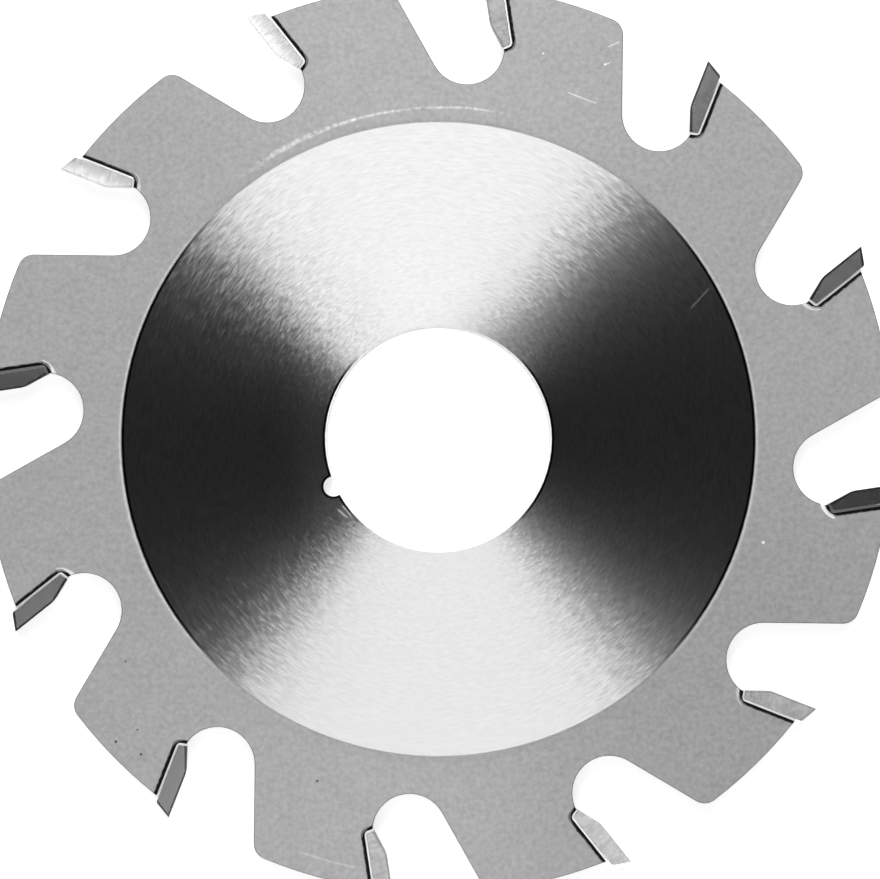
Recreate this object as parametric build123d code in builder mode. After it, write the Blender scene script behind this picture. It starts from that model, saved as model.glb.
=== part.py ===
from build123d import *
import os
from math import atan, cos, degrees, radians, sin, tan

# Grooving cutter: a one-piece steel body with a turned hub, a plain bore and carbide tips brazed
# into seats on its rim. All sizes are in millimetres and all angles in degrees.
# It lies flat on its hub. The origin is on the bore axis, at the lower hub face, and +Z runs along
# the bore. Seen from above it cuts anticlockwise.

# Cutting circle and teeth
CUTTING_DIAMETER = 125.0
CUTTING_WIDTH = 4.0
TOOTH_COUNT = 12
FIRST_TIP_ANGLE = 54.5  # polar angle of the first cutting point, from +X towards +Y

# Steel body
RIM_DROP = 1.35  # the rim lies this far inside the cutting circle
TIP_SIDE_REACH = 0.5  # the tips stand this far beyond each face of the plate
HUB_PROUD = 0.1  # the hub stands this far beyond each side of the cutting edges
PLATE_EDGE_BREAK = 0.12  # small bevel round the plate's outline, on both faces
HUB_DIAMETER = 85.4
HUB_EDGE_BREAK = 0.1
BORE_DIAMETER = 30.0
BORE_EDGE_BREAK = 0.25
NOTCH_RADIUS = 1.35  # small half-round notch through the bore wall
NOTCH_SETBACK = 0.5  # its centre lies this far outside the bore
NOTCH_ANGLE = 204.3

# Chip gullet in front of each tooth
GULLET_RADIUS = 5.0
GULLET_RISE = 0.5  # its centre lies this far out from the bottom of the tip
GULLET_SPLAY = 20.8  # angle between its two straight walls
BACK_CORNER_RADIUS = 2.2  # rounding where the gullet's leading wall meets the rim

# Carbide tip, measured in the plane of the tooth
RAKE_ANGLE = 14.0
RELIEF_ANGLE = 15.0
TIP_THICKNESS = 2.3
TIP_LENGTH = 9.55  # down the back face, from the level of the cutting point
TIP_BOTTOM_SLOPE = 13.0  # the bottom runs inwards towards the gullet by this angle
TIP_CORNER_RADIUS = 0.3  # between back face and bottom
TIP_SHOULDER_RADIUS = 0.5  # between back face and relief face
RAKE_FACE_LENGTH = 6.6
FRONT_BEND_ANGLE = 20.0  # below the rake face the front leans back by this angle
FRONT_BEND_RADIUS = 4.0
RADIAL_SIDE_CLEARANCE = 1.0  # the tip gets narrower towards the axis
TANGENTIAL_SIDE_CLEARANCE = 2.0  # and towards its back

# Brazed seat
BRAZE_GAP = 0.3  # solder layer between the tip and its seat
SEAT_LEDGE = 1.1  # the seat's bottom supports the tip over this depth
SOLDER_PROUD = 0.1  # the solder stands this far above each face of the plate
SEAT_BEVEL_WIDTH = 0.5  # bevel along the seat's edge on both faces
SEAT_BEVEL_DEPTH = 0.4

# Worked out from the sizes above
CUTTING_RADIUS = CUTTING_DIAMETER / 2
RIM_RADIUS = CUTTING_RADIUS - RIM_DROP
BORE_RADIUS = BORE_DIAMETER / 2
HUB_RADIUS = HUB_DIAMETER / 2
PLATE_THICKNESS = CUTTING_WIDTH - 2 * TIP_SIDE_REACH
HUB_WIDTH = CUTTING_WIDTH + 2 * HUB_PROUD
MID_HEIGHT = HUB_WIDTH / 2
TOOTH_PITCH = 360 / TOOTH_COUNT
GULLET_CENTRE = (
    TIP_LENGTH - GULLET_RISE,
    TIP_THICKNESS + BRAZE_GAP - SEAT_LEDGE - GULLET_RADIUS,
)


def tooth_plane(angle, height=0.0):
    """Plane of the tooth whose cutting point stands at this polar angle.

    Its origin is the cutting point, X runs inwards down the rake face and Y runs to the tip's back.
    """
    turn = radians(angle)
    lean = radians(angle + RAKE_ANGLE)
    return Plane(
        origin=(CUTTING_RADIUS * cos(turn), CUTTING_RADIUS * sin(turn), height),
        x_dir=(-cos(lean), -sin(lean), 0),
        z_dir=(0, 0, 1),
    )


def bottom_point(back, gap):
    """Point of the tip's bottom line, moved outwards by gap, at this distance behind the rake face."""
    slope = radians(TIP_BOTTOM_SLOPE)
    return (TIP_LENGTH + (TIP_THICKNESS - back) * tan(slope) + gap / cos(slope), back)


def back_corner(gap):
    """Sharp corner of back face and bottom, both moved outwards by gap."""
    return bottom_point(TIP_THICKNESS + gap, gap)


def heel(gap):
    """Where the bottom line, moved outwards by gap, meets the lower front face."""
    front = tan(radians(FRONT_BEND_ANGLE))
    bottom = tan(radians(TIP_BOTTOM_SLOPE))
    start = bottom_point(0, gap)[0]
    back = front * (start - RAKE_FACE_LENGTH) / (1 + front * bottom)
    return bottom_point(back, gap)


def tip_outline():
    """Side view of a carbide tip, in the plane of its tooth."""
    shoulder = (TIP_THICKNESS * tan(radians(RAKE_ANGLE + RELIEF_ANGLE)), TIP_THICKNESS)
    with BuildSketch() as outline:
        with BuildLine():
            FilletPolyline(
                (0, 0),
                (RAKE_FACE_LENGTH, 0),
                heel(0),
                back_corner(0),
                shoulder,
                radius=[0, FRONT_BEND_RADIUS, 0, TIP_CORNER_RADIUS, TIP_SHOULDER_RADIUS],
                close=True,
            )
        make_face()
    return outline.sketch_local


def seat_outline(gap):
    """Room for a tip with a gap behind and below it, open to the rim and to the gullet."""
    outside = -GULLET_RADIUS
    front = GULLET_CENTRE[1]
    with BuildSketch() as outline:
        with BuildLine():
            FilletPolyline(
                (outside, front),
                bottom_point(front, gap),
                back_corner(gap),
                (outside, TIP_THICKNESS + gap),
                radius=[0, 0, TIP_CORNER_RADIUS + gap, 0],
                close=True,
            )
        make_face()
    return outline.sketch_local


def solder_outline():
    """Layer of solder behind and below a tip, ending flush with the rim and the tip's front."""
    axis_in_plane = (
        CUTTING_RADIUS * cos(radians(RAKE_ANGLE)),
        -CUTTING_RADIUS * sin(radians(RAKE_ANGLE)),
    )
    with BuildSketch() as outline:
        with BuildLine():
            tip_side = FilletPolyline(
                (0, TIP_THICKNESS), back_corner(0), heel(0), radius=TIP_CORNER_RADIUS
            )
            seat_side = FilletPolyline(
                (0, TIP_THICKNESS + BRAZE_GAP),
                back_corner(BRAZE_GAP),
                heel(BRAZE_GAP),
                radius=TIP_CORNER_RADIUS + BRAZE_GAP,
            )
            Line(tip_side @ 0, seat_side @ 0)
            Line(tip_side @ 1, seat_side @ 1)
        make_face()
        with Locations(axis_in_plane):
            Circle(RIM_RADIUS, mode=Mode.INTERSECT)
    return outline.sketch_local


def gullet_outline():
    """U-shaped gullet that opens outwards, with one wall parallel to the rake face."""
    splay = radians(GULLET_SPLAY)
    leading_wall = Vector(-cos(splay), -sin(splay)) * CUTTING_RADIUS
    trailing_wall = Vector(-1, 0) * CUTTING_RADIUS
    with BuildSketch() as outline:
        with BuildLine():
            arc = CenterArc(GULLET_CENTRE, GULLET_RADIUS, GULLET_SPLAY - 90, 180 - GULLET_SPLAY)
            Polyline(arc @ 0, arc @ 0 + leading_wall, arc @ 1 + trailing_wall, arc @ 1)
        make_face()
    return outline.sketch_local


# One gap of the rim, then a disc with all of them, which is the outline that the body is cut to
with BuildSketch(tooth_plane(0)) as gap:
    add(gullet_outline())
    add(seat_outline(BRAZE_GAP))

with BuildSketch() as notched_disc:
    Circle(RIM_RADIUS)
    add(gap.sketch, mode=Mode.SUBTRACT)
    rim_vertices = vertices().filter_by(lambda v: abs(v.center().length - RIM_RADIUS) < 0.001)
    fillet(rim_vertices.sort_by(Axis.Y)[-1], BACK_CORNER_RADIUS)

with BuildSketch() as body_outline:
    Circle(RIM_RADIUS)
    for place in PolarLocations(0, TOOTH_COUNT, start_angle=FIRST_TIP_ANGLE):
        add(notched_disc.sketch.moved(place), mode=Mode.INTERSECT)

with BuildPart() as seat_bevel:
    with BuildSketch(tooth_plane(0, MID_HEIGHT - PLATE_THICKNESS / 2)):
        add(seat_outline(BRAZE_GAP + SEAT_BEVEL_WIDTH))
    bevel_taper = degrees(atan(SEAT_BEVEL_WIDTH / SEAT_BEVEL_DEPTH))
    extrude(amount=SEAT_BEVEL_DEPTH, taper=bevel_taper)
    mirror(about=Plane.XY.offset(MID_HEIGHT))

# Steel body: the plate with its broken edges and the turned hub, then the bore notch and the seats.
# A gullet that reached as far in as the hub would cut it too.
with BuildPart() as cutter_body:
    with BuildSketch(Plane.XY.offset(MID_HEIGHT)):
        add(body_outline.sketch)
        Circle(BORE_RADIUS, mode=Mode.SUBTRACT)
    extrude(amount=PLATE_THICKNESS / 2, both=True)
    plate_faces = faces().filter_by(Plane.XY)
    chamfer([edge for face in plate_faces for edge in face.outer_wire().edges()], PLATE_EDGE_BREAK)
    with BuildSketch(Plane.XZ):
        with Locations((BORE_RADIUS, MID_HEIGHT)):
            Rectangle(HUB_RADIUS - BORE_RADIUS, HUB_WIDTH, align=(Align.MIN, Align.CENTER))
        chamfer(vertices().group_by(Axis.X)[0], BORE_EDGE_BREAK)
        chamfer(vertices().group_by(Axis.X)[-1], HUB_EDGE_BREAK)
    revolve(axis=Axis.Z)
    with BuildSketch():
        add(body_outline.sketch)
    extrude(amount=HUB_WIDTH, mode=Mode.INTERSECT)
    with BuildSketch():
        with PolarLocations(BORE_RADIUS + NOTCH_SETBACK, 1, start_angle=NOTCH_ANGLE):
            Circle(NOTCH_RADIUS)
    extrude(amount=HUB_WIDTH, mode=Mode.SUBTRACT)
    with PolarLocations(0, TOOTH_COUNT, start_angle=FIRST_TIP_ANGLE):
        add(seat_bevel.part, mode=Mode.SUBTRACT)

os.makedirs("parts", exist_ok=True)
cutter_body.part.label = "cutter_body"
export_step(cutter_body.part, "parts/cutter_body.step")

# Carbide tips and their solder, one of each for every tooth
for index in range(TOOTH_COUNT):
    number = f"{index + 1:02d}"
    tooth = tooth_plane(FIRST_TIP_ANGLE + index * TOOTH_PITCH, MID_HEIGHT)

    with BuildPart() as carbide_tip:
        with BuildSketch(tooth):
            add(tip_outline())
        extrude(amount=CUTTING_WIDTH / 2, both=True)
        narrowing = tooth.x_dir * tan(radians(RADIAL_SIDE_CLEARANCE))
        narrowing += tooth.y_dir * tan(radians(TANGENTIAL_SIDE_CLEARANCE))
        for side in (1, -1):
            corner = tooth.origin + tooth.z_dir * (side * CUTTING_WIDTH / 2)
            side_face = Plane(origin=corner, z_dir=narrowing + tooth.z_dir * side)
            split(bisect_by=side_face, keep=Keep.BOTTOM)
    carbide_tip.part.label = f"carbide_tip_{number}"
    export_step(carbide_tip.part, f"parts/carbide_tip_{number}.step")

    with BuildPart() as braze_seam:
        with BuildSketch(tooth):
            add(solder_outline())
        extrude(amount=PLATE_THICKNESS / 2 + SOLDER_PROUD, both=True)
    braze_seam.part.label = f"braze_seam_{number}"
    export_step(braze_seam.part, f"parts/braze_seam_{number}.step")
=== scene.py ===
# %% [markdown]
# # A grooving cutter, dressed for its picture
#
# The object is a flat disc cutter. A steel body carries twelve carbide tips, and silver solder holds
# each tip in its seat. The solids come from the CAD model, packed as a frame. This lesson gives
# them their finishes: a matt ground plate, a bright turned hub, burnt flux beside the solder and
# ground carbide. Everything is in metres, with the bore along Z and the lower hub face at z = 0.

import math

import bmesh
import bpy
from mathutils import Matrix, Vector


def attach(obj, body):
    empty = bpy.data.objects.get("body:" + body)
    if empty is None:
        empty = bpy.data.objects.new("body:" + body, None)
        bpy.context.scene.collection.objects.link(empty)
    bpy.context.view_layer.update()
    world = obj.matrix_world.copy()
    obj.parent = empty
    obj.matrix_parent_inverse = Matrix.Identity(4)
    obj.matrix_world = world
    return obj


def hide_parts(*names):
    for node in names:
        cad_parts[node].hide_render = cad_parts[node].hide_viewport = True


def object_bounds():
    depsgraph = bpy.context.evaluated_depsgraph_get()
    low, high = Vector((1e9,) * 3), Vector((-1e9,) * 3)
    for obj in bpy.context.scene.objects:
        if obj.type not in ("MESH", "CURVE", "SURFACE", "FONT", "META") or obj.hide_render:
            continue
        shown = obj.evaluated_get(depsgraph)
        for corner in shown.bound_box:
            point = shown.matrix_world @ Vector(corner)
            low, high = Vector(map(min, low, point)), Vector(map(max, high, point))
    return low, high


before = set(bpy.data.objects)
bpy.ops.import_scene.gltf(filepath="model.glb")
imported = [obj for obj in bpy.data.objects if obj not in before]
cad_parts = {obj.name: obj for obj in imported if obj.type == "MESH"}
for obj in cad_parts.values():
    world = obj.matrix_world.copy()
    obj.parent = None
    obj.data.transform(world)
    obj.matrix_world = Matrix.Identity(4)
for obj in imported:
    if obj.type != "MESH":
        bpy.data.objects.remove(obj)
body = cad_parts["cutter_body"]
cad_low, cad_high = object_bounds()
print("nodes", len(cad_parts), "box", [round(v, 5) for v in (*cad_low, *cad_high)])

# %% [markdown]
# ## Sizes the finishes need
#
# A finish that starts and stops at an edge has to know where that edge is. The cutter's full width
# is read from the frame. The radii, lengths and angles that can't be read there are written once
# here, with the names and values of the model's source, in millimetres and degrees.

# %% Sizes in millimetres
MM = 0.001
CUTTING_RADIUS = 62.5
HUB_RADIUS = 42.7
BORE_RADIUS = 15.0
NOTCH_RADIUS = 1.35
NOTCH_SETBACK = 0.5
NOTCH_ANGLE = 204.3
TOOTH_COUNT = 12
FIRST_TIP_ANGLE = 54.5
RAKE_ANGLE = 14.0
TIP_THICKNESS = 2.3
TIP_LENGTH = 9.55
TIP_BOTTOM_SLOPE = 13.0
RAKE_FACE_LENGTH = 6.6
BRAZE_GAP = 0.3
PLATE_THICKNESS = 3.0
HUB_WIDTH = (cad_high.z - cad_low.z) / MM
MID_HEIGHT = HUB_WIDTH / 2
print("hub width", round(HUB_WIDTH, 3), "mm, teeth every", 360 / TOOTH_COUNT, "degrees")

# %% [markdown]
# ## Camera
#
# The cutter lies flat and the picture is taken straight down, from far away, so no gullet shows its
# walls. A long lens does that. The axis of the bore isn't quite in the middle of the picture, so the
# camera stands a little beside it. The width of the view follows from the picture's scale at the
# plate's upper face.

# %% Camera over the cutter
PICTURE_SIZE = (880, 879)
AXIS_IN_PICTURE = (438.4, 439.1)
METRES_PER_PIXEL = 0.134524 * MM
LENS = 400.0
SENSOR_WIDTH = 36.0

camera = bpy.data.objects.new("camera", bpy.data.cameras.new("camera"))
camera.data.lens = LENS
camera.data.sensor_width = SENSOR_WIDTH
view_width = PICTURE_SIZE[0] * METRES_PER_PIXEL
distance = view_width * LENS / SENSOR_WIDTH
plate_top = (MID_HEIGHT + PLATE_THICKNESS / 2) * MM
camera.location = (
    (PICTURE_SIZE[0] / 2 - AXIS_IN_PICTURE[0]) * METRES_PER_PIXEL,
    (AXIS_IN_PICTURE[1] - PICTURE_SIZE[1] / 2) * METRES_PER_PIXEL,
    plate_top + distance,
)
camera.data.clip_start = distance / 100
camera.data.clip_end = distance * 10
bpy.context.scene.collection.objects.link(camera)
bpy.context.scene.camera = camera
bpy.context.scene.view_settings.view_transform = "Standard"
print("camera", round(distance, 3), "m above the plate, view", round(view_width / MM, 1), "mm wide")

# %% [markdown]
# ## Shader maths as Python
#
# A procedural finish is mostly arithmetic: a distance, a mask, one mask times another. Written as
# nodes one by one, that is hard to read. This small class wraps a socket, so that `1 - mask * 0.5`
# adds the Math nodes by itself, and one method adds any other node.

# %% The class that wraps a socket


class Shade:
    """A socket in a node tree that can be used in a Python expression."""

    def __init__(self, tree, socket=None):
        self.tree = tree
        self.socket = socket

    def node(self, kind, sockets=None, output=0, **settings):
        """Adds a node: its settings first, then values or links for its sockets. Returns an output."""
        made = self.tree.nodes.new(kind)
        for name, value in settings.items():
            setattr(made, name, value)
        for key, value in (sockets or {}).items():
            if isinstance(value, Shade):
                self.tree.links.new(value.socket, made.inputs[key])
            else:
                made.inputs[key].default_value = value
        return Shade(self.tree, made.outputs[output])

    def maths(self, operation, *values):
        return self.node("ShaderNodeMath", dict(enumerate(values)), operation=operation)

    def __add__(self, other):
        return self.maths("ADD", self, other)

    def __radd__(self, other):
        return self.maths("ADD", other, self)

    def __sub__(self, other):
        return self.maths("SUBTRACT", self, other)

    def __rsub__(self, other):
        return self.maths("SUBTRACT", other, self)

    def __mul__(self, other):
        return self.maths("MULTIPLY", self, other)

    def __rmul__(self, other):
        return self.maths("MULTIPLY", other, self)

    def __truediv__(self, other):
        return self.maths("DIVIDE", self, other)

    def __pow__(self, other):
        return self.maths("POWER", self, other)

    def __abs__(self):
        return self.maths("ABSOLUTE", self)

    def larger(self, other):
        return self.maths("MAXIMUM", self, other)

    def smaller(self, other):
        return self.maths("MINIMUM", self, other)

    def ramp(self, start, end, low=0.0, high=1.0):
        """Goes smoothly from low at start to high at end."""
        if start > end:
            start, end, low, high = end, start, high, low
        sockets = {"Value": self, "From Min": start, "From Max": end, "To Min": low, "To Max": high}
        return self.node("ShaderNodeMapRange", sockets, interpolation_type="SMOOTHSTEP")

    def vector(self, operation, *values):
        return self.node("ShaderNodeVectorMath", dict(enumerate(values)), operation=operation)

    def scaled(self, factor):
        """This vector times one number."""
        sockets = {"Vector": self, "Scale": factor}
        return self.node("ShaderNodeVectorMath", sockets, operation="SCALE")

    def parts(self):
        """The X, Y and Z of this vector."""
        split = self.tree.nodes.new("ShaderNodeSeparateXYZ")
        self.tree.links.new(self.socket, split.inputs[0])
        return [Shade(self.tree, socket) for socket in split.outputs]

    def joined(self, x, y, z):
        """A vector made of three numbers or links."""
        return self.node("ShaderNodeCombineXYZ", {0: x, 1: y, 2: z})

    def noise(self, place, scale, detail=2.0, roughness=0.5, output=0):
        """Soft random levels, about -0.5 to 0.5, at this place. Output 1 gives three of them."""
        sockets = {"Vector": place, "Scale": scale, "Detail": detail, "Roughness": roughness}
        levels = self.node("ShaderNodeTexNoise", sockets, output)
        if output:
            return [level - 0.5 for level in levels.parts()]
        return levels - 0.5

    def grey(self, level):
        """A grey colour from one number or link."""
        return self.node("ShaderNodeCombineColor", {0: level, 1: level, 2: level})


def material_from(name, surface_of):
    """A material whose shader is what a function makes with a Shade of the node tree."""
    material = bpy.data.materials.new(name)
    material.use_nodes = True
    material.node_tree.nodes.clear()
    shade = Shade(material.node_tree)
    output = shade.tree.nodes.new("ShaderNodeOutputMaterial")
    shade.tree.links.new(surface_of(shade).socket, output.inputs["Surface"])
    return material


print("socket class ready")

# %% [markdown]
# ## The studio
#
# Turned metal shows its surroundings. On the hub the grooves run round the bore, so each spot
# mirrors only what lies along its own radius. Two long soft lights, one beyond the upper edge of
# the picture and one beyond the lower edge, and dark screens at the left and right give the hub its
# bright and dark fans. The lights are drawn in the world as a function of the direction, because
# then their edges are straight rays from overhead, and that is how the fans look.
#
# Each light is given by the bearings of its two ends, in degrees anticlockwise from the right, and
# its level. It is weaker near the table than high up. Straight overhead the camera shades the
# cutter, so a round patch is dark there. The camera itself sees white everywhere, and at the
# horizon the metal sees white too.

# %% Soft lights and dark screens round the cutter
UPPER_LIGHT = (52.5, 136.2, 2.46)
LOWER_LIGHT = (-129.4, -49.4, 2.06)
LIGHT_END_FADE = 7.5
LOW_ANGLE = 15.0
FULL_ANGLE = 50.0
LOW_PART = 0.45
SCREEN_LEVEL = 0.013
CAMERA_SHADE_ANGLE = 12.0
CAMERA_SHADE_FADE = 2.0
HORIZON_ANGLE = 3.0
HORIZON_FADE = 1.0

world = bpy.data.worlds.new("studio")
bpy.context.scene.world = world
world.use_nodes = True
world.node_tree.nodes.clear()
sky = Shade(world.node_tree)
direction = sky.node("ShaderNodeTexCoord", output="Generated")
across, along, upwards = direction.parts()
bearing = sky.maths("ARCTAN2", along, across) * math.degrees(1)


def soft_light(first, last, level):
    """A light that fills the bearings from first to last, with soft ends."""
    off_centre = abs(bearing - (first + last) / 2)
    half = (last - first) / 2
    return off_centre.ramp(half + LIGHT_END_FADE, half - LIGHT_END_FADE) * (level - SCREEN_LEVEL)


def rise(degrees):
    """The Z of a direction this many degrees above the horizon."""
    return math.sin(math.radians(degrees))


lights = soft_light(*UPPER_LIGHT) + soft_light(*LOWER_LIGHT)
shade_edge = 90 - CAMERA_SHADE_ANGLE
overhead = upwards.ramp(rise(shade_edge - CAMERA_SHADE_FADE), rise(shade_edge + CAMERA_SHADE_FADE))
lower_down = upwards.ramp(rise(LOW_ANGLE), rise(FULL_ANGLE), LOW_PART, 1.0)
studio_level = lights * lower_down * (1 - overhead) + SCREEN_LEVEL
horizon = upwards.ramp(rise(HORIZON_ANGLE + HORIZON_FADE), rise(HORIZON_ANGLE - HORIZON_FADE))
white = sky.node("ShaderNodeLightPath", output="Is Camera Ray").larger(horizon)
background = sky.node("ShaderNodeBackground", {"Color": sky.grey(studio_level * (1 - white) + white)})
world_output = sky.tree.nodes.new("ShaderNodeOutputWorld")
sky.tree.links.new(background.socket, world_output.inputs["Surface"])
print("upper and lower light, bearings and level", UPPER_LIGHT, LOWER_LIGHT)

# %% [markdown]
# The real lights stand close enough to make the upper part of the matt plate a little lighter than
# the lower part. A world has no distance, so one large lamp beyond the upper edge adds that. It
# isn't mirrored in the metal, because the world's lights already are.

# %% Lamp beyond the upper edge
KEY_PLACE = Vector((0.0, 0.36, 0.34))
KEY_SIZE = 0.26
KEY_POWER = 1.4

key_light = bpy.data.lights.new("upper_lamp", "AREA")
key_light.shape = "SQUARE"
key_light.size = KEY_SIZE
key_light.energy = KEY_POWER
key = bpy.data.objects.new("upper_lamp", key_light)
key.location = KEY_PLACE
key.rotation_euler = (-KEY_PLACE).to_track_quat("-Z", "Y").to_euler()
key.visible_glossy = False
bpy.context.scene.collection.objects.link(key)
print("lamp", KEY_POWER, "W at", round(KEY_PLACE.length, 2), "m")

# %% [markdown]
# ## Floor
#
# The cutter lies on a white table that runs out of the picture. The camera and the metal see it as
# white, by a glow that only their rays meet. Below that glow the table is real paint in real light,
# so the cutter's shadow is kept.

# %% White floor
FLOOR_RADIUS = 6.0
FLOOR_GLOW = 0.64
FLOOR_WHITE = 0.7


def white_table(shade):
    """Shader of the table: matt white paint, and a glow for the rays that look at it."""
    seen = shade.node("ShaderNodeLightPath", output="Is Camera Ray")
    for ray in ("Is Glossy Ray", "Is Transmission Ray"):
        seen = seen.larger(shade.node("ShaderNodeLightPath", output=ray))
    sockets = {
        "Base Color": (FLOOR_WHITE, FLOOR_WHITE, FLOOR_WHITE, 1),
        "Roughness": 1.0,
        "Specular IOR Level": 0.0,
    }
    paint = shade.node("ShaderNodeBsdfPrincipled", sockets)
    glow = shade.node("ShaderNodeEmission", {"Color": (1, 1, 1, 1), "Strength": seen * FLOOR_GLOW})
    return shade.node("ShaderNodeAddShader", {0: paint, 1: glow})


floor_mesh = bmesh.new()
bmesh.ops.create_circle(floor_mesh, cap_ends=True, segments=96, radius=FLOOR_RADIUS)
floor_data = bpy.data.meshes.new("floor")
floor_mesh.to_mesh(floor_data)
floor_mesh.free()
floor_data.materials.append(material_from("white_table", white_table))
floor = bpy.data.objects.new("floor", floor_data)
bpy.context.scene.collection.objects.link(floor)
print("floor", 2 * FLOOR_RADIUS, "m across")

# %% [markdown]
# ## Steel body
#
# One piece of steel with two finishes. The plate is ground and then blasted matt, so its material
# scatters light evenly. The hub faces are turned: their grooves spread light along the radius and
# hardly at all round it. Blender calls that anisotropy. With no tangent linked, its grooves already
# run round the middle of the piece, and a quarter turn spreads the light across them.
#
# The masks of both finishes need the same few measures: how far a place is from the bore, in which
# direction it lies, and how flat the face is. They are worked out once for each material.

# %% Places on the cutter, in millimetres
SIDE_FROM = 0.64
SIDE_FULL = 0.86
FLAT_FROM = 0.9
FLAT_FULL = 0.99


class Places:
    """Measures that the masks share, worked out from Object coordinates.

    across goes from -1 at the left of the bore to 1 at the right, and up from -1 below it to 1 above.
    sideways is 1 at the left and the right and 0 above and below. flat is 1 on faces that lie flat.
    """

    def __init__(self, shade):
        metres = shade.node("ShaderNodeTexCoord", output="Object")
        self.point = metres.scaled(1 / MM)
        self.x, self.y, self.z = self.point.parts()
        self.radius = (self.x * self.x + self.y * self.y) ** 0.5
        self.angle = shade.maths("ARCTAN2", self.y, self.x)
        self.across = self.x / self.radius
        self.up = self.y / self.radius
        self.sideways = abs(self.across).ramp(SIDE_FROM, SIDE_FULL)
        self.off_middle = abs(self.z - MID_HEIGHT)
        self.outward = shade.joined(self.across, self.up, 0.0)
        self.onward = shade.joined(self.up * -1, self.across, 0.0)
        self.normal = shade.node("ShaderNodeNewGeometry", output="Normal")
        self.upright = abs(self.normal.parts()[2])
        self.flat = self.upright.ramp(FLAT_FROM, FLAT_FULL)


def leaning_normal(places, outwards, onwards):
    """The surface's normal, tilted away from the bore and round it by these slopes."""
    normal = places.normal
    tilted = normal.vector("ADD", normal, places.outward.scaled(outwards))
    tilted = tilted.vector("ADD", tilted, places.onward.scaled(onwards))
    return tilted.vector("NORMALIZE", tilted)


def distance_from(places, x_middle, y_middle):
    """Distance in the plane from a point."""
    x_from = places.x - x_middle
    y_from = places.y - y_middle
    return (x_from * x_from + y_from * y_from) ** 0.5


print("shared measures ready")

# %% [markdown]
# ### Where the nearest tooth is
#
# All twelve teeth are alike, so one set of measures serves them all: the angle of a place is folded
# back to the nearest tooth, and from there the distances run down its rake face and towards its
# back. The burnt flux follows the back and the rounded bottom corner of each seat.

# %% Distances at the nearest tooth
CORNER_ROUNDING = 0.7


def tooth_places(shade, places):
    """Distances in the plane of the nearest tooth: down its rake face, and towards its back."""
    pitch = math.radians(360 / TOOTH_COUNT)
    turned = places.angle - math.radians(FIRST_TIP_ANGLE)
    local = turned - shade.maths("ROUND", turned / pitch) * pitch
    out = places.radius * shade.maths("COSINE", local) - CUTTING_RADIUS
    side = places.radius * shade.maths("SINE", local)
    lean = math.radians(RAKE_ANGLE)
    down = out * -math.cos(lean) - side * math.sin(lean)
    back = out * math.sin(lean) - side * math.cos(lean)
    return down, back


def seat_distance(down, back):
    """How far a point lies outside the back and the bottom of the nearest tip, round its corner."""
    slope = math.radians(TIP_BOTTOM_SLOPE)
    behind = back - TIP_THICKNESS
    below = (down - TIP_LENGTH + behind * math.tan(slope)) * math.cos(slope)
    past_back = (behind + CORNER_ROUNDING).larger(0.0)
    past_bottom = (below + CORNER_ROUNDING).larger(0.0)
    return (past_back * past_back + past_bottom * past_bottom) ** 0.5 - CORNER_ROUNDING


print("teeth are", round(math.radians(360 / TOOTH_COUNT) * CUTTING_RADIUS, 1), "mm apart at the tips")

# %% [markdown]
# ### Small marks of use
#
# Scratches, gouges, pits and bright specks are few and each has its own place, so they are given
# one by one. A scratch is a thin line between two points that fades at both ends, and a pit or
# speck is a soft round spot. They could be painted on an image instead, but a mask that is worked
# out stays sharp from near and needs no file.

# %% Scratches and spots
SCRATCH_END = 0.4
SOFT_EDGE = 1.5
FULL_CORE = 0.5


def strongest(masks):
    """The highest of several masks at each place."""
    highest = masks[0]
    for mask in masks[1:]:
        highest = highest.larger(mask)
    return highest


def scratch_mask(places, stroke, width):
    """Mask of one thin straight scratch."""
    x_start, y_start, x_end, y_end = stroke
    length = math.hypot(x_end - x_start, y_end - y_start)
    x_way = (x_end - x_start) / length
    y_way = (y_end - y_start) / length
    x_from = places.x - x_start
    y_from = places.y - y_start
    aside = abs(y_from * x_way - x_from * y_way)
    off_centre = abs(x_from * x_way + y_from * y_way - length / 2)
    line = aside.ramp(width * SOFT_EDGE, width * FULL_CORE)
    return line * off_centre.ramp(length / 2, length / 2 - SCRATCH_END)


def scratches_mask(places, strokes, width):
    """Mask of scratches, each from one point to another."""
    return strongest([scratch_mask(places, stroke, width) for stroke in strokes])


def spots_mask(places, spots):
    """Mask of small round spots, each given by its place and radius."""
    return strongest([distance_from(places, x, y).ramp(size, size * FULL_CORE) for x, y, size in spots])


print("scratches fade over", SCRATCH_END, "mm at their ends")

# %% [markdown]
# ### Turned hub
#
# The grooves aren't perfect. Each one tilts a little to one side and the other along its length,
# and that breaks the edges of the bright fans into fine streaks. The streaks show most at the left
# and the right, and along the edges of the fans. The grooves' flanks also lean outwards, so a spot
# mirrors mostly the light on its own side of the bore. Towards the bore the face has a slight twist
# that swings the fans round a little, more above the bore than below it.

# %% Grooves of the hub
FLANK_LEAN = 0.165
STREAK_PITCH = 0.26
STREAKS_PER_RADIAN = 26.0
STREAK_TILT = 0.1
STREAK_LEAN = 0.32
SIDE_STREAKS = 4.0
SIDE_STREAKS_BELOW = 0.75
SIDE_STREAKS_END = 0.95
FAN_EDGE_STREAKS = 2.0
FAN_EDGE_HEIGHT = 0.62
FAN_EDGE_CORE = 0.1
FAN_EDGE_REACH = 0.3
TWIST_ALIKE = -9.0
TWIST_OPPOSED = -11.7


def groove_noise(shade, places):
    """Three random levels that are long along the grooves and short across them."""
    x, y = places.outward.scaled(STREAKS_PER_RADIAN).parts()[:2]
    place = shade.joined(x, y, places.radius / STREAK_PITCH)
    return shade.noise(place, 1.0, detail=2.0, roughness=0.55, output=1)


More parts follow.
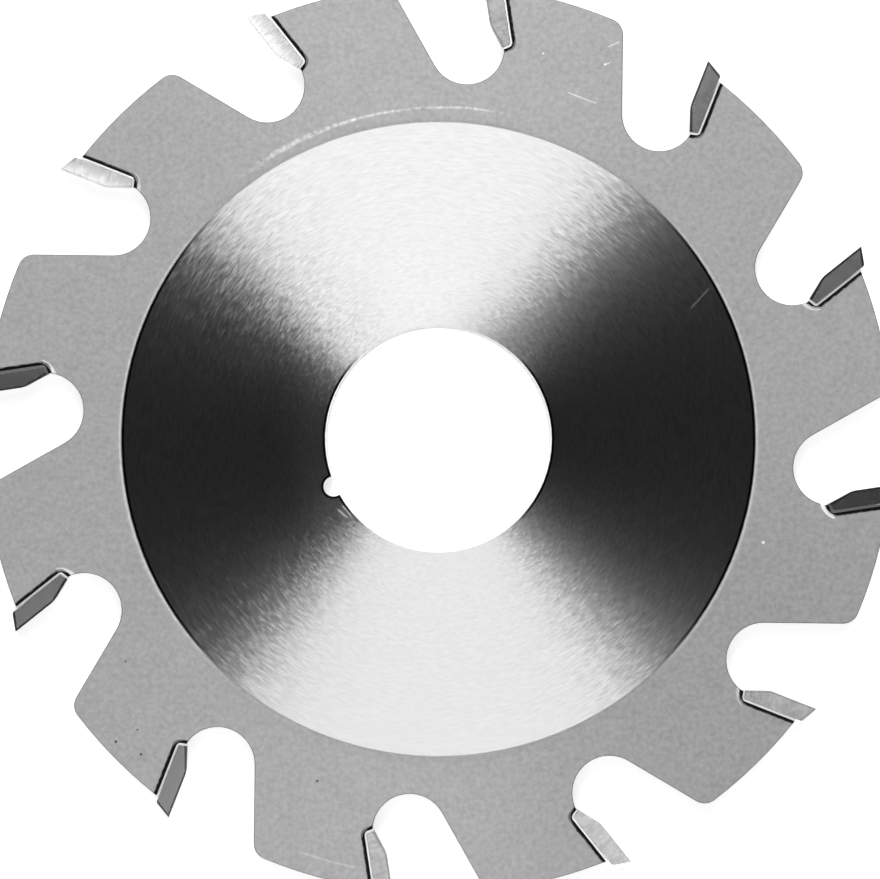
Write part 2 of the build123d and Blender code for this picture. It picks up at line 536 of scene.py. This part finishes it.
def streak_strength(places):
    """How much stronger the streaks are than at the top and the bottom of the hub."""
    height = abs(places.up)
    at_sides = height.ramp(SIDE_STREAKS_END, SIDE_STREAKS_BELOW, 1.0, SIDE_STREAKS)
    off_edge = abs(height - FAN_EDGE_HEIGHT)
    return at_sides + off_edge.ramp(FAN_EDGE_REACH, FAN_EDGE_CORE) * FAN_EDGE_STREAKS


def twist_near_bore(places):
    """Slope round the bore: a part that is alike above and below it, and a part that is opposed."""
    return (places.up * TWIST_ALIKE + TWIST_OPPOSED) * places.up / (places.radius * places.radius)


print("grooves", STREAK_PITCH, "mm apart")

# %% [markdown]
# A thin dark line of painted shade runs along the two edges of the face, at the left and the right,
# and a dark ring lies all round the notch. The broken edge of the bore is painted pale, a painted
# highlight. Beside the notch are two gouges and a fine scratch, another scratch lies near the hub's
# edge at the right, and a wider stretch at the left of the bore is worn a little duller.

# %% Painted edge shade and highlight, and wear of the hub
# The dark edge lines at the left and the right are painted shade; the bore's pale bevel is a painted
# highlight.
HUB_EDGE_AND_NOTCH_DARKNESS = 0.93
HUB_EDGE_SHADE_WIDTH = 0.5
HUB_EDGE_SHADE_FADE = 0.15
NOTCH_RING_WIDTH = 0.25
NOTCH_RING_FADE = 0.1
BORE_EDGE_REACH = 1.0
BORE_EDGE_PAINTED_HIGHLIGHT = 0.38
WORN_REACH = 8.0
WORN_FROM = -0.6
WORN_FULL = -0.95
WORN_ROUGHNESS = 0.1
HUB_SCRATCHES = ((33.8, 17.4, 36.5, 20.4), (-12.4, -11.1, -9.3, -13.7))
HUB_SCRATCH_WIDTH = 0.12
HUB_SCRATCH_SHINE = 0.35
HUB_SCRATCH_ROUGHNESS = 0.2
HUB_GOUGES = ((-13.6, -9.4, -12.1, -10.7), (-13.0, -8.8, -11.6, -10.4))
GOUGE_WIDTH = 0.14
GOUGE_SHINE = 0.5


def painted_edge_shade_and_notch_ring(places):
    """Mask of the painted shade along the edges of the face, at the left and the right, and of the dark
    ring round the notch.
    """
    outer_start = HUB_RADIUS - HUB_EDGE_SHADE_WIDTH
    inner_end = BORE_RADIUS + HUB_EDGE_SHADE_WIDTH
    edges = places.radius.ramp(outer_start, outer_start + HUB_EDGE_SHADE_FADE)
    edges = edges + places.radius.ramp(inner_end + HUB_EDGE_SHADE_FADE, inner_end)
    notch_way = math.radians(NOTCH_ANGLE)
    notch_reach = BORE_RADIUS + NOTCH_SETBACK
    off_notch = distance_from(places, notch_reach * math.cos(notch_way), notch_reach * math.sin(notch_way))
    notch_end = NOTCH_RADIUS + NOTCH_RING_WIDTH
    notch_edge = off_notch.ramp(notch_end + NOTCH_RING_FADE, notch_end)
    return (edges * places.sideways).larger(notch_edge) * places.flat * HUB_EDGE_AND_NOTCH_DARKNESS


def bore_edge_mask(places):
    """Mask of the bevel round the bore."""
    near_bore = places.radius.ramp(BORE_RADIUS + BORE_EDGE_REACH, BORE_RADIUS + BORE_EDGE_REACH / 2)
    return (1 - places.flat) * near_bore


def worn_left(places):
    """Extra roughness of the worn stretch at the left of the bore."""
    near_bore = places.radius.ramp(BORE_RADIUS + WORN_REACH, BORE_RADIUS)
    return near_bore * places.across.ramp(WORN_FROM, WORN_FULL) * WORN_ROUGHNESS


print("hub marks", len(HUB_SCRATCHES), "scratches and", len(HUB_GOUGES), "gouges")

# %% [markdown]
# Most of the hub is bare metal that mirrors the lights. The gouges are made less metallic, because
# their torn surface scatters light instead of mirroring it. The bore's edge is made less metallic
# too, so that its painted highlight shows instead of a reflection.

# %% Turned hub's shader
TURNED_STEEL = 0.58
TURNED_ROUGHNESS = 0.315
TURNED_ANISOTROPY = 1.0
ACROSS_THE_GROOVES = 0.25
STREAK_SHADE = 0.095


def turned_hub(shade, places):
    """Shader of the turned hub faces."""
    tilt, lean, streak = groove_noise(shade, places)
    scratches = scratches_mask(places, HUB_SCRATCHES, HUB_SCRATCH_WIDTH)
    gouges = scratches_mask(places, HUB_GOUGES, GOUGE_WIDTH) * GOUGE_SHINE
    bore_edge = bore_edge_mask(places)
    steel = TURNED_STEEL + streak * STREAK_SHADE * streak_strength(places)
    # Painted highlight on the bore's bevel, added to the real scratches.
    wear_and_painted_light = scratches * HUB_SCRATCH_SHINE + bore_edge * BORE_EDGE_PAINTED_HIGHLIGHT
    outwards = lean * STREAK_LEAN + FLANK_LEAN
    onwards = tilt * STREAK_TILT + twist_near_bore(places)
    sockets = {
        # Painted shade darkens the hub's edges at the left and the right.
        "Base Color": shade.grey(steel * (1 - painted_edge_shade_and_notch_ring(places)) + wear_and_painted_light),
        "Metallic": 1 - bore_edge.larger(gouges),
        "Roughness": TURNED_ROUGHNESS + worn_left(places) + scratches * HUB_SCRATCH_ROUGHNESS,
        "Anisotropic": TURNED_ANISOTROPY,
        "Anisotropic Rotation": ACROSS_THE_GROOVES,
        "Normal": leaning_normal(places, outwards, onwards),
    }
    return shade.node("ShaderNodeBsdfPrincipled", sockets)


print("turned steel", TURNED_STEEL, "roughness", TURNED_ROUGHNESS)

# %% [markdown]
# ### Matt plate
#
# The plate is even grey with a faint mottle. Painted light makes it a little lighter at the top and
# over the lower half, and painted shade makes it darker at the lower right. Its foot beside the hub
# is painted lighter: in the lower half as a soft band of painted light that lifts the hub's shadow,
# and at the left and the right as a bright line, a painted highlight.

# %% Painted light and shade of the plate
ENDS_PAINTED_LIGHT = 0.07
ENDS_FROM = 0.75
LOWER_PAINTED_LIGHT = 0.06
LOWER_FULL = -0.8
LOWER_RIGHT_PAINTED_SHADE = 0.12
LOWER_RIGHT_FROM = 1.0
FOOT_PAINTED_LIGHT = 0.35
FOOT_WIDTH = 0.8
FOOT_FADE = 0.3
SIDE_LINE_PAINTED_HIGHLIGHT = 0.5
SIDE_LINE_INNER = 0.15
SIDE_LINE_OUTER = 0.42


def plate_painted_light_and_shade(places):
    """Share of painted light by which the plate is lighter, or of painted shade if it is negative."""
    ends = abs(places.up).ramp(ENDS_FROM, 1.0) * ENDS_PAINTED_LIGHT
    lower = places.up.ramp(0.0, LOWER_FULL) * LOWER_PAINTED_LIGHT
    lower_right = (places.across - places.up).ramp(LOWER_RIGHT_FROM, math.sqrt(2)) * LOWER_RIGHT_PAINTED_SHADE
    return ends + lower - lower_right


def painted_foot_light(places):
    """Share of painted light and highlight by which the foot beside the hub is lighter."""
    band = places.radius.ramp(HUB_RADIUS + FOOT_WIDTH, HUB_RADIUS) * places.up.ramp(FOOT_FADE, -FOOT_FADE)
    line = places.radius.ramp(HUB_RADIUS + SIDE_LINE_OUTER, HUB_RADIUS + SIDE_LINE_INNER)
    return band * FOOT_PAINTED_LIGHT + line * places.sideways * SIDE_LINE_PAINTED_HIGHLIGHT


print("plate darker by", LOWER_RIGHT_PAINTED_SHADE, "at the lower right")

# %% [markdown]
# A clamping ring has left a rub mark above the hub. It is an arc that isn't quite round the bore,
# so its radius drifts with the angle. It gets wider towards the left, and the mottle breaks it up.
# A few short scratches, bright specks and small dark pits lie elsewhere on the plate. All of them
# are too shallow to show as shape, so they only change the tone.

# %% Rub mark, scratches and pits of the plate
RUB_SHINE = 0.48
RUB_RADIUS = 44.75
RUB_DRIFT_FROM = 80.0
RUB_DRIFT = 0.7
RUB_MIDDLE = 101.6
RUB_REACH = 26.93
RUB_FADE = 8.02
RUB_WIDENING = 15.0
RUB_NARROW = 0.26
RUB_WIDE = 0.5
RUB_CORE = 0.3
RUB_EVENNESS = 0.75
RUB_MOTTLE = 3.0
RUB_PATCHES = 2.0
PLATE_SCRATCHES = (
    (17.2, 46.7, 21.4, 45.1),
    (22.7, 52.7, 24.5, 53.5),
    (22.3, 50.3, 23.4, 50.8),
)
PLATE_SCRATCH_WIDTH = 0.1
PLATE_SCRATCH_SHINE = 0.6
FAINT_SCRATCHES = ((-18.6, -55.6, -14.6, -56.8), (-15.0, -56.7, -11.0, -57.7))
FAINT_SCRATCH_WIDTH = 0.14
FAINT_SCRATCH_SHINE = 0.24
BRIGHT_SPOTS = ((43.7, -13.9, 0.28), (14.1, 51.9, 0.14), (22.4, 50.4, 0.2))
BRIGHT_SPOT_SHINE = 1.2
PITS = (
    (-40.0, -42.4, 0.26),
    (-43.4, -40.7, 0.26),
    (-42.1, -29.9, 0.18),
    (-40.5, -39.1, 0.18),
    (-16.3, -46.0, 0.22),
)
PIT_SHADE = 0.75


def rub_mark(places, mottle, patches):
    """Mask of the rubbed arc above the hub."""
    middle = math.radians(RUB_MIDDLE)
    drift = (places.angle - math.radians(RUB_DRIFT_FROM)) * RUB_DRIFT
    width = places.angle.ramp(middle, middle + math.radians(RUB_WIDENING), RUB_NARROW, RUB_WIDE)
    arc = (abs(places.radius + drift - RUB_RADIUS) / width).ramp(1.0, RUB_CORE)
    away = abs(places.angle - middle)
    ends = away.ramp(math.radians(RUB_REACH), math.radians(RUB_REACH - RUB_FADE))
    return arc * ends * (mottle * RUB_MOTTLE + patches * RUB_PATCHES + RUB_EVENNESS)


def plate_marks(places, mottle, patches):
    """Share by which the rub mark, the scratches and the specks are lighter."""
    rub = rub_mark(places, mottle, patches) * RUB_SHINE
    scratches = scratches_mask(places, PLATE_SCRATCHES, PLATE_SCRATCH_WIDTH) * PLATE_SCRATCH_SHINE
    faint = scratches_mask(places, FAINT_SCRATCHES, FAINT_SCRATCH_WIDTH) * FAINT_SCRATCH_SHINE
    return rub + scratches + faint + spots_mask(places, BRIGHT_SPOTS) * BRIGHT_SPOT_SHINE


print("plate marks", len(PLATE_SCRATCHES) + len(FAINT_SCRATCHES), "scratches,", len(PITS), "pits")

# %% [markdown]
# The groove beside each line of solder is coloured near black. The groove is in the solid and its
# darkness isn't, so it is made as colour, and noise added to its width makes its edge ragged. Under
# the foot of each tip at the left and the right, a painted highlight lightens the plate, strongest
# at the far right.

# %% Dark groove and painted highlight under the tips
GROOVE_WIDTH = 0.42
RAGGED_SCALE = 1.6
RAGGED_WIDTH = 0.5
DARK_GROOVE_FADE = 0.06
DARK_GROOVE_FROM = 0.9
DARK_GROOVE_FULL = 1.1
HALO_INNER = 1.12
HALO_OUTER = 1.37
HALO_FADE = 0.25
HALO_FROM = 0.6
HALO_FULL = 1.4
HALO_PAINTED_HIGHLIGHT = 0.9
RIGHT_HALO_PAINTED_HIGHLIGHT = 2.0
RIGHT_FROM = 0.96
RIGHT_FULL = 0.98


def dark_groove_mask(shade, places, back, off_seat):
    """Mask of the dark groove beside the solder."""
    ragged = shade.noise(places.point, RAGGED_SCALE, detail=3.0)
    groove_end = BRAZE_GAP + GROOVE_WIDTH + ragged * RAGGED_WIDTH
    return (off_seat - groove_end).ramp(DARK_GROOVE_FADE, -DARK_GROOVE_FADE) * back.ramp(DARK_GROOVE_FROM, DARK_GROOVE_FULL)


def painted_tip_foot_highlight(places, down, back, off_seat):
    """Share of painted highlight by which the plate under the foot of a tip is lighter."""
    under = down.ramp(TIP_LENGTH - HALO_FADE, TIP_LENGTH + HALO_FADE)
    halo = off_seat.ramp(HALO_OUTER, HALO_INNER) * under * back.ramp(HALO_FROM, HALO_FULL)
    far_right = places.across.ramp(RIGHT_FROM, RIGHT_FULL)
    return halo * (places.sideways * HALO_PAINTED_HIGHLIGHT + far_right * RIGHT_HALO_PAINTED_HIGHLIGHT)


print("burnt groove", GROOVE_WIDTH, "mm wide")

# %% [markdown]
# The broken edges round the rim and the gullets are darker than the blasted faces. The blasted
# steel isn't a clean mirror any more, so its metal share is only two thirds. The face leans a
# little outwards, so that each half answers mostly to the light on its own side.

# %% Matt plate's shader
PLATE_STEEL = 0.43
PLATE_ROUGHNESS = 0.64
PLATE_METALLIC = 0.66
PLATE_LEAN = 0.12
MOTTLE_SIZE = 0.7
MOTTLE_SHADE = 0.26
PATCH_SIZE = 3.0
PATCH_SHADE = 0.05
EDGE_SHADE = 0.4
DARK_GROOVE_LEVEL = 0.012


def matt_plate(shade, places):
    """Shader of the plate, with its wear and the burnt flux beside the solder."""
    mottle = shade.noise(places.point, 1 / MOTTLE_SIZE, detail=3.0, roughness=0.6)
    patches = shade.noise(places.point, 1 / PATCH_SIZE, detail=2.0)
    down, back = tooth_places(shade, places)
    off_seat = seat_distance(down, back)
    # Painted light and shade, painted highlights and real marks of wear, added together.
    wear_and_painted_light = painted_foot_light(places) + plate_painted_light_and_shade(places) + plate_marks(places, mottle, patches)
    wear_and_painted_light = wear_and_painted_light + painted_tip_foot_highlight(places, down, back, off_seat)
    steel = PLATE_STEEL + mottle * MOTTLE_SHADE + patches * PATCH_SHADE
    steel = steel * (wear_and_painted_light + 1) * (1 - (1 - places.flat) * EDGE_SHADE)
    steel = (steel * (1 - spots_mask(places, PITS) * PIT_SHADE)).smaller(1.0)
    dark_groove = dark_groove_mask(shade, places, back, off_seat)
    sockets = {
        "Base Color": shade.grey(steel * (1 - dark_groove) + dark_groove * DARK_GROOVE_LEVEL),
        "Metallic": PLATE_METALLIC,
        "Roughness": PLATE_ROUGHNESS,
        "Normal": leaning_normal(places, PLATE_LEAN, 0.0),
    }
    return shade.node("ShaderNodeBsdfPrincipled", sockets)


print("plate steel", PLATE_STEEL, "roughness", PLATE_ROUGHNESS)

# %% [markdown]
# Both finishes meet at the hub's edge. The turned one covers what lies inside the hub's radius and
# higher than the plate, on both sides of the cutter.

# %% Steel body's material
FINISH_EDGE = 0.02
HUB_STEP = 0.1


def body_steel(shade):
    """Shader of the whole body."""
    places = Places(shade)
    inside = places.radius.ramp(HUB_RADIUS + FINISH_EDGE, HUB_RADIUS - FINISH_EDGE)
    raised = places.off_middle.ramp(PLATE_THICKNESS / 2, PLATE_THICKNESS / 2 + HUB_STEP)
    sockets = {0: inside * raised, 1: matt_plate(shade, places), 2: turned_hub(shade, places)}
    return shade.node("ShaderNodeMixShader", sockets)


steel = material_from("body_steel", body_steel)
body.data.materials.clear()
body.data.materials.append(steel)
print("body finished with", len(steel.node_tree.nodes), "nodes")

# %% [markdown]
# ## Carbide tips
#
# The sides of the tips are ground, with fine marks that cross the tip. All twelve were ground in
# the same fixture, so the marks keep their angle to the radius from tip to tip, and the sides lean
# a little outwards and clockwise. Some tips then mirror a light and some a screen. The grinding
# also leaves broader bands. On the tips at the right and the left, a thin dark line of painted
# shade follows the outline where the side meets the other faces.

# %% Marks and outline of a tip
MARK_PITCH = 0.45
MARK_LENGTH = 1.4
BAND_PITCH = 1.6
BAND_LENGTH = 4.8
TIP_TO_TIP = 3
GRAIN_SCALE = 1.6
OUTLINE_PAINTED_SHADE = 0.8
OUTLINE_BEARING = 25.0
OUTLINE_CORE = 0.18
OUTLINE_WIDTH = 0.32
END_SLOPE = 0.6
FOOT_SLOPE = 0.41


def facing(places, degrees):
    """1 where a place lies in this direction from the bore, 0 at a right angle to it, -1 opposite."""
    way = math.radians(degrees)
    return places.across * math.cos(way) + places.up * math.sin(way)


def crossing_noise(shade, places, down, back, pitch, length, **settings):
    """Random levels in stripes that cross the tip, different on each tip."""
    place = shade.joined(down / pitch, back / length, places.angle * TIP_TO_TIP)
    return shade.noise(place, 1.0, **settings)


def past_line(distance, aside, slope):
    """Distance past a line that slants by this slope."""
    return (distance - aside * slope) * math.cos(math.atan(slope))


def tip_outline(places, down, back):
    """Mask of a thin line of painted shade along the rake edge, the tip's end and its slanting foot."""
    end = past_line(down, back, END_SLOPE)
    foot = past_line(back, down - RAKE_FACE_LENGTH, FOOT_SLOPE)
    line = back.smaller(end).smaller(foot).ramp(OUTLINE_WIDTH, OUTLINE_CORE)
    shown = facing(places, OUTLINE_BEARING)
    return line * shown * shown * OUTLINE_PAINTED_SHADE


print("grinding marks", MARK_PITCH, "mm apart")

# %% [markdown]
# At the upper left the sides of the tips catch the full glare of the upper light towards their rake
# edge, and the tips opposite catch a little of the lower light's. There the ground face leans
# outwards slightly more, which mirrors more of the light. The tips at the right are painted a
# little darker than those at the left, and so are the topmost and the lowest one, as painted shade.
# The faces that stand on edge round the sides, such as the rake face, are painted darkest, also as
# painted shade.

# %% Shader of the ground carbide
CARBIDE = 0.99
CARBIDE_ROUGHNESS = 0.147
CARBIDE_ANISOTROPY = 1.0
GRINDING_TURN = 0.25 + RAKE_ANGLE / 360
GROUND_OUTWARDS = 0.038
GROUND_ONWARDS = -0.025
MARK_TILT = 0.006
MARK_SHADE = 0.3
BAND_SHADE = 0.45
ONE_SIDE_PAINTED_SHADE = 0.12
TOP_PAINTED_SHADE = 0.2
TOP_FROM = 0.96
TOP_FULL = 0.99
CUTTING_FACE_PAINTED_LEVEL = 0.4
CUTTING_FACE_BELOW = 0.3
SIDE_FACE_ABOVE = 0.85
GLARE_BEARING = 129.5
GLARE_FROM = 0.75
GLARE_FULL = 0.93
LOWER_GLARE = 0.25
GLARE_LEAN = 0.021
GLARE_STREAKS = 1.5
GLARE_START = 2.1
GLARE_END = 0.2


def glare_lean(places, back, marks):
    """Extra outward lean of the tips that catch the glare, growing towards the rake edge."""
    faced = facing(places, GLARE_BEARING)
    glare = faced.ramp(GLARE_FROM, GLARE_FULL) + faced.ramp(-GLARE_FROM, -GLARE_FULL) * LOWER_GLARE
    return glare * (back.ramp(GLARE_START, GLARE_END) + marks * GLARE_STREAKS) * GLARE_LEAN


def ground_carbide(shade):
    """Shader of the carbide tips."""
    places = Places(shade)
    down, back = tooth_places(shade, places)
    marks = crossing_noise(shade, places, down, back, MARK_PITCH, MARK_LENGTH, detail=1.0)
    bands = crossing_noise(shade, places, down, back, BAND_PITCH, BAND_LENGTH, roughness=0.6)
    grain = shade.noise(places.point, GRAIN_SCALE)
    # Painted shade: tips darker at the right and at the very top and bottom, faces on edge darkest.
    painted_tip_shade = places.across * ONE_SIDE_PAINTED_SHADE + abs(places.up).ramp(TOP_FROM, TOP_FULL) * TOP_PAINTED_SHADE
    level = CARBIDE + (grain + marks) * MARK_SHADE + bands * BAND_SHADE
    level = (level * (1 - painted_tip_shade)).smaller(1.0)
    level = level * places.upright.ramp(CUTTING_FACE_BELOW, SIDE_FACE_ABOVE, CUTTING_FACE_PAINTED_LEVEL, 1.0)
    outwards = grain * MARK_TILT + GROUND_OUTWARDS + glare_lean(places, back, marks)
    onwards = marks * MARK_TILT + GROUND_ONWARDS
    sockets = {
        "Base Color": shade.grey(level * (1 - tip_outline(places, down, back))),
        "Metallic": 1.0,
        "Roughness": CARBIDE_ROUGHNESS,
        "Anisotropic": CARBIDE_ANISOTROPY,
        "Anisotropic Rotation": GRINDING_TURN,
        "Normal": leaning_normal(places, outwards, onwards),
    }
    return shade.node("ShaderNodeBsdfPrincipled", sockets)


carbide = material_from("ground_carbide", ground_carbide)
print("carbide", CARBIDE, "grinding marks turned", round(GRINDING_TURN * 360), "degrees")

# %% [markdown]
# The direction of the marks comes from the texture space of a mesh, and each tip's mesh has one of
# its own. So each tip is a copy of the CAD solid, with its texture space centred on the bore
# instead. In the copy the loose triangles are joined to flat faces, and every edge is broken by a
# hair, as a grinding stone leaves it. The copy then stands for the CAD node.

# %% Tips with sharp ground edges
MERGE_DISTANCE = 0.001 * MM
EDGE_BREAK = 0.03 * MM
EDGE_SEGMENTS = 1
FLAT_WITHIN = math.radians(1.0)
EDGE_STARTS_AT = math.radians(12.0)


def merged_copy(node):
    """A bmesh of a CAD node with its loose triangles joined into flat faces."""
    mesh = bmesh.new()
    mesh.from_mesh(node.data)
    bmesh.ops.remove_doubles(mesh, verts=mesh.verts, dist=MERGE_DISTANCE)
    bmesh.ops.dissolve_limit(mesh, angle_limit=FLAT_WITHIN, verts=mesh.verts, edges=mesh.edges)
    return mesh


def break_edges(mesh, width, segments):
    """Rounds every edge between two faces that meet at an angle."""
    edges = [edge for edge in mesh.edges if edge.is_manifold and edge.calc_face_angle() > EDGE_STARTS_AT]
    bmesh.ops.bevel(
        mesh, geom=edges, offset=width, affect="EDGES", segments=segments, profile=0.5,
        material=-1, clamp_overlap=True,
    )


def stand_for(node_name, piece_name, width, segments, material):
    """Makes the piece that stands for a CAD node, with its texture space centred on the bore."""
    mesh = merged_copy(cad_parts[node_name])
    break_edges(mesh, width, segments)
    data = bpy.data.meshes.new(piece_name)
    mesh.to_mesh(data)
    mesh.free()
    data.materials.append(material)
    data.use_auto_texspace = False
    data.texspace_location = (0, 0, MID_HEIGHT * MM)
    data.texspace_size = (CUTTING_RADIUS * MM, CUTTING_RADIUS * MM, HUB_WIDTH * MM)
    piece = bpy.data.objects.new(piece_name, data)
    bpy.context.scene.collection.objects.link(piece)
    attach(piece, "root")
    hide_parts(node_name)
    return piece


for number in range(1, TOOTH_COUNT + 1):
    cad_name, tip_name = f"carbide_tip_{number:02d}", f"ground_tip_{number:02d}"
    tip = stand_for(cad_name, tip_name, EDGE_BREAK, EDGE_SEGMENTS, carbide)
print("tips", TOOTH_COUNT, "faces each", len(tip.data.polygons))

# %% [markdown]
# ## Silver solder
#
# A line of solder shows round the back and the bottom of each tip. It is bright and slightly
# rounded, because it set there as a bead. So each line is a copy of its CAD solid too, with its
# edges rounded more than a tip's. Beside the tips at the far left and the far right it is painted
# dark, as painted shade.

# %% Solder
SOLDER = 0.97
SOLDER_ROUGHNESS = 0.42
SOLDER_LEAN = 0.1
RIPPLE_SCALE = 1.5
RIPPLE_SHADE = 0.2
RIPPLE_TILT = 0.1
SOLDER_PAINTED_SHADE = 0.78
SOLDER_SHADE_FROM = 0.96
SOLDER_SHADE_FULL = 0.985
BEAD_ROUNDING = 0.05 * MM
BEAD_SEGMENTS = 2


def silver_solder(shade):
    """Shader of the solder."""
    places = Places(shade)
    ripple = shade.noise(places.point, RIPPLE_SCALE)
    # Painted shade darkens the solder at the far left and the far right.
    painted_solder_shade = abs(places.across).ramp(SOLDER_SHADE_FROM, SOLDER_SHADE_FULL) * SOLDER_PAINTED_SHADE
    sockets = {
        "Base Color": shade.grey((SOLDER + ripple * RIPPLE_SHADE) * (1 - painted_solder_shade)),
        "Metallic": 1.0,
        "Roughness": SOLDER_ROUGHNESS,
        "Normal": leaning_normal(places, ripple * RIPPLE_TILT + SOLDER_LEAN, 0.0),
    }
    return shade.node("ShaderNodeBsdfPrincipled", sockets)


silver = material_from("silver_solder", silver_solder)
for number in range(1, TOOTH_COUNT + 1):
    cad_name, bead_name = f"braze_seam_{number:02d}", f"solder_bead_{number:02d}"
    bead = stand_for(cad_name, bead_name, BEAD_ROUNDING, BEAD_SEGMENTS, silver)
print("solder beads", TOOTH_COUNT, "faces each", len(bead.data.polygons))
